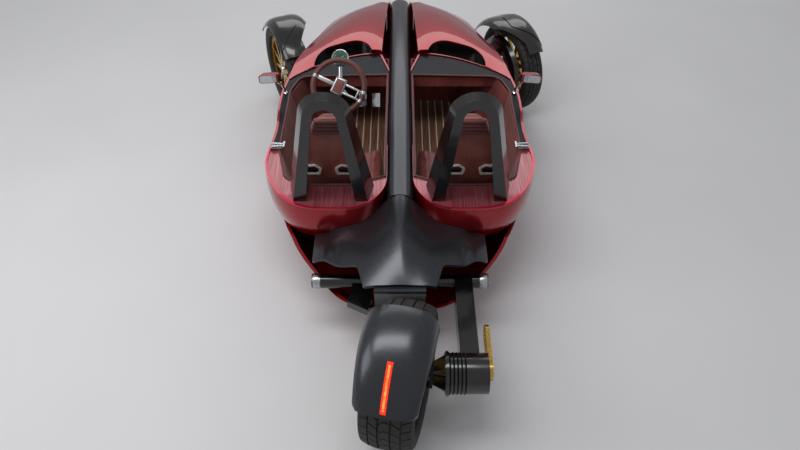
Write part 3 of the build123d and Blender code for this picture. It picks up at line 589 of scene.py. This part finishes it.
def backrest(side, word):
    """Backrest padding: two bolsters beside a fluted middle panel, with a seam under the head roll."""
    bm = bmesh.new()
    middle = plate(back_outline(0.022, 0.392, 0.985), 0.050, 0.030, 5)
    round_edges(middle, sharp_edges(middle, 50), 0.016, 4)
    put(bm, middle, shift(0, -0.2285, 0) @ UPRIGHT)
    wing_outline = [(0.0, 0.392), (0.118, 0.392), (0.108, 0.515), (0.050, 0.612), (0.0, 0.640)]
    for hand in (1, -1):
        wing = plate(wing_outline, 0.040, 0.020, 4)
        round_edges(wing, sharp_edges(wing, 50), 0.012, 4)
        stand = shift(0.126 if hand > 0 else -0.166, -0.275, 0) @ turn(90, "Z") @ turn(90, "X")
        put(bm, wing, stand)
    bmesh.ops.transform(bm, matrix=seat_place(), verts=bm.verts)
    pad = puff(bm, BACKREST_CAP)
    back = seat_place().inverted()
    for vert in pad.verts:
        spot = back @ vert.co
        if spot.y > -0.262:
            x, z = spot.x, spot.z
            flute = abs(math.sin(math.pi * x / 0.042))
            if abs(x) < 0.100 and 0.42 < z < 0.86:
                spot.y -= 0.007 + 0.006 * (1 - flute) ** 2
            seam = max(0.0, 1.0 - abs(z - 0.885) / 0.008)
            spot.y -= 0.010 * seam
            vert.co = seat_place() @ spot
    bmesh.ops.transform(pad, matrix=side_place(side), verts=pad.verts)
    return finish_piece(f"seat_backrest_{word}", pad, LEATHER, "chassis", 80)


def head_roll(side, word):
    """Ribbed leather cap that laps over the top of the shell, in a darker hide."""
    bm = bmesh.new()
    for rib in range(4):
        z = 0.914 + rib * 0.0215
        half = 0.086 - rib * 0.0065
        bar = block((2 * half, 0.030, 0.0225), 0.009, 4)
        put(bm, bar, shift(0, -0.2935, z))
    bmesh.ops.transform(bm, matrix=side_place(side) @ seat_place(), verts=bm.verts)
    finish_piece(f"head_roll_{word}", bm, MAROON, "chassis")


for side, word in BOTH:
    seat_shell(side, word)
    belt_slots(side, word)
    head_roll(side, word)
    cushion = cushions(side, word)
    rest = backrest(side, word)
    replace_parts(cushion, f"seat_pads_{word}")
    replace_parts(rest, f"seat_pads_{word}")


# ---- wheels ---------------------------------------------------------------
def bent_tread(bm, radius, half):
    """Wraps blocks laid flat along Y, standing on z = 0, round a crowned tyre."""
    for vert in bm.verts:
        x, s, high = vert.co
        crown = radius - 0.0005 - 0.019 * (abs(x) / (0.9 * half)) ** 2.6
        r = crown - 0.009 + high
        vert.co = (x, r * math.sin(s / radius), r * math.cos(s / radius))


def tyre(name, radius, width, rim, blocks, place, body, node):
    """A tyre: turned casing under five ribs of slanted tread blocks with grooves running round between them."""
    half = width / 2
    wall = [(0.55, rim - 0.004), (0.86, rim), (0.93, rim + 0.008), (0.96, rim + 0.018), (1.0, (rim + radius) / 2)]
    shoulder = [(0.975, 0.034), (0.93, 0.024), (0.80, 0.018), (0.5, 0.0125), (0.0, 0.0095)]
    shoulder = [(share, radius - drop) for share, drop in shoulder]
    right = [(share * half, r) for share, r in wall + shoulder]
    section = right + [(-x, r) for x, r in reversed(right[:-1])]
    casing = turned(section + section[:1], 96)
    pitch = 2 * math.pi * radius / blocks
    gap = 0.0045
    tread = bmesh.new()
    rows = [(-0.19, 0.19, 0.55), (0.25, 0.55, -0.75), (0.60, 0.93, 0.5), (-0.55, -0.25, -0.75), (-0.93, -0.60, 0.5)]
    for low, high, skew in rows:
        slant = []
        for share in [low + (high - low) * i / 4 for i in range(5)]:
            lead = skew * half * abs(abs(share) - abs(low)) + 0.010 * math.sin(3.0 * share)
            slant.append((share * half, lead))
        outline = [(x, s + gap / 2) for x, s in slant] + [(x, s + pitch - gap / 2) for x, s in reversed(slant)]
        row = plate(outline, 0.009)
        top = max(row.faces, key=lambda f: f.calc_center_median().z)
        round_edges(row, list(top.edges), 0.0009, 1)
        for i in range(blocks):
            put(tread, row.copy(), shift(0, i * pitch, 0))
        row.free()
    bent_tread(tread, radius, half)
    bm = bmesh.new()
    put(bm, casing, place)
    put(bm, tread, place)
    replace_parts(finish_piece(name, bm, RUBBER, body, 30), node)


def hub_cap(name, face_x, place, body):
    """Domed cap and five nuts on the outer face of a hub, which looks along +X."""
    bm = bmesh.new()
    cap = turned([(0, 0), (0, 0.030), (0.004, 0.030), (0.009, 0.026), (0.011, 0.018), (0.0115, 0)], 48)
    put(bm, cap, place @ shift(face_x, 0, 0))
    for i in range(5):
        nut = bmesh.new()
        bmesh.ops.create_cone(nut, cap_ends=True, segments=6, radius1=0.0055, radius2=0.0050, depth=0.008)
        spot = turn(72 * i, "X") @ shift(face_x + 0.004, 0, 0.0375) @ turn(90, "Y")
        put(bm, nut, place @ spot)
    finish_piece(name, bm, CHROME, body, 30)


KINGPIN_X = 0.735
FRONT_WHEEL_X = 0.780
FRONT_AXLE_Y = 1.180
FRONT_STEER = 25           # degrees to the left, as it stands
REAR_STEER = -12


def front_place(side):
    """From a wheel drawn about its own centre, axle along X, to one front kingpin, turned as it stands."""
    kingpin_x = side * KINGPIN_X
    steered = shift(kingpin_x, FRONT_AXLE_Y, 0) @ turn(FRONT_STEER, "Z") @ shift(-kingpin_x, -FRONT_AXLE_Y, 0)
    return steered @ shift(side * FRONT_WHEEL_X, FRONT_AXLE_Y, 0.31) @ side_place(side)


REAR_PLACE = shift(0, -1.33, 0.33) @ turn(REAR_STEER, "Z")
for side, word in BOTH:
    place, wheel = front_place(side), f"front_wheel_{word}"
    tyre(f"treaded_front_tyre_{word}", 0.31, 0.14, 0.232, 46, place, wheel, f"front_tyre_{word}")
    hub_cap(f"front_hub_cap_{word}", 0.038, place, wheel)
tyre("treaded_rear_tyre", 0.33, 0.24, 0.238, 40, REAR_PLACE, "rear_wheel", "rear_tyre")
hub_cap("rear_hub_cap", 0.082, REAR_PLACE @ turn(180, "Z"), "rear_wheel")


# ---- steering wheel and gauge --------------------------------------------
def steering_place(turned_by=0.0):
    """Frame of the steering wheel: Z towards the driver along the column, Y up the wheel."""
    tilt = math.radians(40)
    toward = Vector((0, -math.cos(tilt), math.sin(tilt)))
    up = Vector((0, math.sin(tilt), math.cos(tilt)))
    frame_of = Matrix.Identity(4)
    for column, axis in enumerate((Vector((1, 0, 0)), up, toward)):
        for row in range(3):
            frame_of[row][column] = axis[row]
    return shift(-0.345, 0.29, 0.74) @ frame_of @ turn(turned_by, "Z")


FACE_UP = turn(-90, "Y")   # stands a turned shape's X axis up along Z


def steering_wheel():
    """Leather rim on a bright hub with one broad spoke and a pair of slim ones."""
    at = steering_place(335)
    rim = [(0.0148 * math.sin(a), 0.1445 + 0.0152 * math.cos(a)) for a in (2 * math.pi * i / 20 for i in range(21))]
    ring = bmesh.new()
    put(ring, turned(rim, 96), at @ FACE_UP)
    bmesh.ops.remove_doubles(ring, verts=ring.verts, dist=1e-5)
    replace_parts(finish_piece("steering_rim", ring, HAVANA, "steering", 80), "steering_wheel")
    bright = bmesh.new()
    put(bright, block((0.070, 0.098, 0.026), 0.009, 4), at @ shift(0, 0, -0.010))
    put(bright, block((0.112, 0.024, 0.007), 0.003, 3), at @ shift(-0.082, 0, -0.006))
    for y in (-0.024, 0.024):
        put(bright, block((0.112, 0.013, 0.007), 0.003, 3), at @ shift(0.082, y, -0.006))
    put(bright, block((0.010, 0.060, 0.006), 0.0025, 3), at @ shift(0.112, 0, -0.0055))
    for degrees in (180, 10, -10):
        band = [(0.0156 * math.sin(a), 0.0156 * math.cos(a)) for a in (2 * math.pi * i / 16 for i in range(17))]
        clip = bmesh.new()
        verts = [clip.verts.new((0.1445 + y, 0, x)) for x, y in band[:-1]]
        face = clip.faces.new(verts)
        bmesh.ops.spin(clip, geom=[face], cent=(0, 0, 0), axis=(0, 0, 1), angle=math.radians(7), steps=4)
        put(bright, clip, at @ turn(degrees - 3.5, "Z"))
    finish_piece("steering_spokes", bright, SILVER, "steering", 30)
    pad = block((0.050, 0.076, 0.012), 0.005, 4)
    bmesh.ops.transform(pad, matrix=at @ shift(0, 0, 0.0045), verts=pad.verts)
    finish_piece("steering_pad", pad, LEATHER, "steering", 40)
    studs = bmesh.new()
    screw = [(0, 0), (0, 0.0032), (0.0016, 0.0026), (0.002, 0)]
    for x, y in ((-0.026, 0.040), (0.026, 0.040), (-0.026, -0.040), (0.026, -0.040)):
        put(studs, turned(screw, 16), at @ shift(x, y, 0.0025) @ FACE_UP)
    finish_piece("steering_screws", studs, IRON, "steering", 30)


def instrument():
    """Round instrument: dark can, chrome ring, green dial with ivory marks and a hand."""
    at = steering_place() @ shift(0, 0.173, -0.129)
    can = bmesh.new()
    can_section = [(-0.017, 0), (-0.017, 0.036), (-0.012, 0.044), (0.006, 0.047), (0.013, 0.047), (0.013, 0)]
    put(can, turned(can_section, 64), at @ FACE_UP)
    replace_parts(finish_piece("gauge_can", can, BLACK, "chassis", 30), "gauge")
    ring = bmesh.new()
    section = [(0.009, 0.0462), (0.009, 0.0495), (0.014, 0.0498), (0.017, 0.047), (0.017, 0.0435), (0.0142, 0.0415)]
    put(ring, turned(section + section[:1], 64), at @ FACE_UP)
    bmesh.ops.remove_doubles(ring, verts=ring.verts, dist=1e-5)
    finish_piece("gauge_ring", ring, CHROME, "chassis", 30)
    dial = bmesh.new()
    put(dial, turned([(0.012, 0), (0.012, 0.0425), (0.0135, 0.0425), (0.0138, 0)], 64), at @ FACE_UP)
    finish_piece("gauge_dial", dial, DIAL, "chassis", 30)
    marks = bmesh.new()
    for i in range(13):
        long = 0.007 if i % 3 == 0 else 0.004
        spot = turn(-120 + 20 * i, "Z") @ shift(0, 0.037 - long / 2, 0.0140)
        put(marks, block((0.0014, long, 0.0008), 0.0002, 1), at @ spot)
    put(marks, block((0.0016, 0.030, 0.001), 0.0003, 1), at @ turn(-60, "Z") @ shift(0, 0.011, 0.0148))
    put(marks, turned([(0.0138, 0), (0.0138, 0.0035), (0.0155, 0.0028), (0.0158, 0)], 20), at @ FACE_UP)
    finish_piece("gauge_marks", marks, IVORY, "chassis", 30)


# ---- mirrors and catches --------------------------------------------------
def door_mirror(side, word):
    """Wine-red wedge shell on a bright stalk, with glass facing back."""
    at = side_place(side) @ shift(0.745, 0.385, 0.740) @ turn(-8, "Z")
    shell = bmesh.new()
    bmesh.ops.create_cube(shell, size=1.0)
    bmesh.ops.scale(shell, vec=(0.130, 0.044, 0.060), verts=shell.verts)
    for vert in shell.verts:
        if vert.co.y > 0:
            vert.co.x *= 0.74
            vert.co.z *= 0.60
    round_edges(shell, [e for e in shell.edges if abs((e.verts[0].co - e.verts[1].co).y) > 0.02], 0.018, 6)
    round_edges(shell, sharp_edges(shell, 45), 0.004, 3)
    bmesh.ops.transform(shell, matrix=at, verts=shell.verts)
    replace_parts(finish_piece(f"mirror_shell_{word}", shell, PAINT, "chassis", 30), f"mirror_{word}")
    pane = plate([(-0.058, -0.024), (0.058, -0.024), (0.058, 0.024), (-0.058, 0.024)], 0.0016, 0.014, 6)
    bmesh.ops.transform(pane, matrix=at @ shift(0, -0.0212, 0) @ UPRIGHT, verts=pane.verts)
    finish_piece(f"mirror_glass_{word}", pane, GLASS, "chassis", 30)
    stem = bmesh.new()
    line = [(0.676, 0.425, 0.607), (0.682, 0.422, 0.660), (0.712, 0.398, 0.700), (0.722, 0.390, 0.730)]
    put(stem, tube(line, 0.0070), side_place(side))
    foot = [(0, 0), (0, 0.0140), (0.003, 0.0140), (0.006, 0.0105), (0.008, 0.0085), (0.008, 0)]
    put(stem, turned(foot, 32), side_place(side) @ shift(0.676, 0.425, 0.6053) @ FACE_UP)
    finish_piece(f"mirror_stem_{word}", stem, CHROME, "chassis", 30)


def sill_catch(side, word):
    """Bright latch lying across the sill: a forked arm, its pin and the striker plate."""
    bm = bmesh.new()
    at = side_place(side) @ shift(0.662, -0.085, 0.6165)
    put(bm, block((0.070, 0.040, 0.005), 0.002, 2), at @ shift(0, 0, -0.006))
    put(bm, block((0.078, 0.013, 0.013), 0.005, 4), at @ shift(-0.006, 0.010, 0.002) @ turn(6, "Z"))
    put(bm, block((0.070, 0.013, 0.013), 0.005, 4), at @ shift(-0.006, -0.011, 0.002) @ turn(-6, "Z"))
    pin = turned([(-0.024, 0), (-0.024, 0.007), (-0.022, 0.0085), (0.022, 0.0085), (0.024, 0.007), (0.024, 0)], 32)
    put(bm, pin, at @ shift(-0.038, 0, 0.003) @ turn(90, "Z"))
    finish_piece(f"sill_catch_{word}", bm, SILVER, "chassis", 30)


# ---- trim -----------------------------------------------------------------
OPENING = [
    (0.0695, 0.625, 0.0), (0.605, 0.605, 0.080), (0.655, 0.450, 0.150), (0.655, -0.100, 0.150),
    (0.600, -0.330, 0.060), (0.480, -0.392, 0.080), (0.250, -0.392, 0.080), (0.0695, -0.322, 0.0),
]


def opening_piping(side, word):
    """Padded leather roll laid round the edge of one cockpit opening."""
    bm = bmesh.new()
    verts = [bm.verts.new((x, y, 0)) for x, y, radius in OPENING]
    bm.faces.new(verts)
    count = len(OPENING)
    for i, (x, y, radius) in enumerate(OPENING):
        if radius:
            before = Vector(OPENING[i - 1][:2]) - Vector((x, y))
            after = Vector(OPENING[(i + 1) % count][:2]) - Vector((x, y))
            reach = radius / math.tan(before.angle(after) / 2)
            bmesh.ops.bevel(bm, geom=[verts[i]], offset=reach, segments=8, affect="VERTICES", **ROUND)
    inner = bm.faces[:][0]
    bmesh.ops.inset_region(bm, faces=[inner], thickness=0.010, use_even_offset=True, use_boundary=True)
    bmesh.ops.delete(bm, geom=[inner], context="FACES")
    pushed = bmesh.ops.extrude_face_region(bm, geom=bm.faces[:])
    top = [g for g in pushed["geom"] if isinstance(g, bmesh.types.BMVert)]
    bmesh.ops.translate(bm, vec=(0, 0, 0.010), verts=top)
    bmesh.ops.recalc_face_normals(bm, faces=bm.faces)
    round_edges(bm, sharp_edges(bm, 60), 0.0042, 4)
    bmesh.ops.transform(bm, matrix=side_place(side) @ shift(0, 0, 0.598), verts=bm.verts)
    finish_piece(f"opening_piping_{word}", bm, MAROON, "chassis", 60)


def arc_strip(half, low, high, start, end, steps):
    """Part of a ring about the X axis, from one angle behind the top to another."""
    bm = bmesh.new()
    corners = [(-half, 0, low), (half, 0, low), (half, 0, high), (-half, 0, high)]
    face = bm.faces.new([bm.verts.new(c) for c in corners])
    bmesh.ops.spin(bm, geom=[face], cent=(0, 0, 0), axis=(1, 0, 0), angle=math.radians(end - start), steps=steps)
    bmesh.ops.rotate(bm, cent=(0, 0, 0), matrix=Matrix.Rotation(math.radians(start), 3, "X"), verts=bm.verts)
    bmesh.ops.recalc_face_normals(bm, faces=bm.faces)
    return bm


def lamp_core():
    """Amber light bar down the middle of the tail lamp."""
    bm = bmesh.new()
    put(bm, arc_strip(0.0045, 0.3868, 0.3892, 29, 56, 24), REAR_PLACE)
    finish_piece("tail_lamp_core", bm, GLOW, "rear_hub", 30)


def motor_trim():
    """Cooling rings on the wheel motor's case."""
    at = shift(0, -1.33, 0.33)
    rings = bmesh.new()
    for i in range(5):
        x = 0.216 + 0.017 * i
        section = [(-0.004, 0.0885), (-0.0035, 0.0915), (0, 0.0928), (0.0035, 0.0915), (0.004, 0.0885)]
        ring = [(x + along, r) for along, r in section + section[:1]]
        put(rings, turned(ring, 64), at)
    bmesh.ops.remove_doubles(rings, verts=rings.verts, dist=1e-5)
    finish_piece("motor_rings", rings, IRON, "chassis", 30)


def tube_ends():
    """Bright collars and end plugs on the cross tube."""
    bm = bmesh.new()
    for side in (1, -1):
        plug = [(0.4345, 0), (0.4345, 0.028), (0.438, 0.027), (0.441, 0.022), (0.4415, 0)]
        put(bm, turned(plug, 48), side_place(side) @ shift(0, -0.790, 0.322))
        collar = [(0.392, 0.0355), (0.392, 0.0378), (0.394, 0.0386), (0.428, 0.0386), (0.430, 0.0378), (0.430, 0.0355)]
        put(bm, turned(collar + collar[:1], 64), side_place(side) @ shift(0, -0.790, 0.322))
    bmesh.ops.remove_doubles(bm, verts=bm.verts, dist=1e-5)
    finish_piece("tube_collars", bm, SILVER, "chassis", 30)


steering_wheel()
instrument()
for side, word in BOTH:
    door_mirror(side, word)
    sill_catch(side, word)
    opening_piping(side, word)
lamp_core()
motor_trim()
tube_ends()


# ---- stage ---------------------------------------------------------------
def stage_floor():
    """A wide pale floor that keeps the vehicle's shadow."""
    mesh = bpy.data.meshes.new("floor")
    bm = bmesh.new()
    bmesh.ops.create_grid(bm, x_segments=1, y_segments=1, size=30.0)
    bm.to_mesh(mesh)
    bm.free()
    floor = bpy.data.objects.new("floor", mesh)
    bpy.context.scene.collection.objects.link(floor)
    mat, tree, shader, place = material("studio_floor")
    cloud = noise(tree, place, 900.0, 2.0)
    colour = ramp(tree, cloud, linear("#d8d8da"), linear("#dcdcde"), 0.3, 0.7)
    finish_with(tree, shader, colour, ramp(tree, cloud, grey(0.8), grey(0.9)))
    mesh.materials.append(mat)


def area_lamp(name, location, target, size, power):
    lamp = bpy.data.lights.new(name, "AREA")
    lamp.shape = "RECTANGLE"
    lamp.size, lamp.size_y = size
    lamp.energy = power
    holder = bpy.data.objects.new(name, lamp)
    holder.location = location
    holder.rotation_euler = (Vector(target) - Vector(location)).to_track_quat("-Z", "Y").to_euler()
    bpy.context.scene.collection.objects.link(holder)


def studio_world(scene):
    """Soft grey surround that shows paler to the camera and in gloss and glass."""
    world = bpy.data.worlds.new("studio")
    world.use_nodes = True
    tree = world.node_tree
    soft = tree.nodes["Background"]
    soft.inputs["Color"].default_value = linear("#dcdde0")
    soft.inputs["Strength"].default_value = 0.5
    pale = add(tree, "ShaderNodeBackground", {"Color": linear("#d4d4d6"), "Strength": 0.62})
    rays = add(tree, "ShaderNodeLightPath")
    seen, glossy, through = (rays.outputs[f"Is {kind} Ray"] for kind in ("Camera", "Glossy", "Transmission"))
    seen = add(tree, "ShaderNodeMath", {0: seen, 1: glossy}, operation="ADD").outputs["Value"]
    seen = add(tree, "ShaderNodeMath", {0: seen, 1: through}, operation="ADD", use_clamp=True).outputs["Value"]
    surrounds = {0: seen, 1: soft.outputs["Background"], 2: pale.outputs["Background"]}
    mixed = add(tree, "ShaderNodeMixShader", surrounds)
    tree.links.new(mixed.outputs["Shader"], tree.nodes["World Output"].inputs["Surface"])
    scene.world = world


CAMERA_PLACE = (0.0, -3.05, 2.975)
CAMERA_TILT = 45           # degrees up from straight down


def lights_and_camera():
    scene = bpy.context.scene
    studio_world(scene)
    area_lamp("front_softbox", (0.0, 5.6, 4.4), (0, 0.2, 0.5), (7.0, 2.6), 100.0)
    area_lamp("overhead_strip", (-0.9, -0.9, 4.3), (-0.1, -0.9, 0.3), (1.1, 3.4), 70.0)
    area_lamp("left_fill", (-4.5, -1.5, 3.2), (0, 0, 0.4), (2.5, 2.5), 55.0)
    camera = bpy.data.cameras.new("camera")
    camera.lens = 31.5
    camera.sensor_width = 36.0
    holder = bpy.data.objects.new("camera", camera)
    holder.location = CAMERA_PLACE
    holder.rotation_euler = (math.radians(CAMERA_TILT), 0, 0)
    scene.collection.objects.link(holder)
    scene.camera = holder
    scene.view_settings.view_transform = "Standard"


stage_floor()
lights_and_camera()
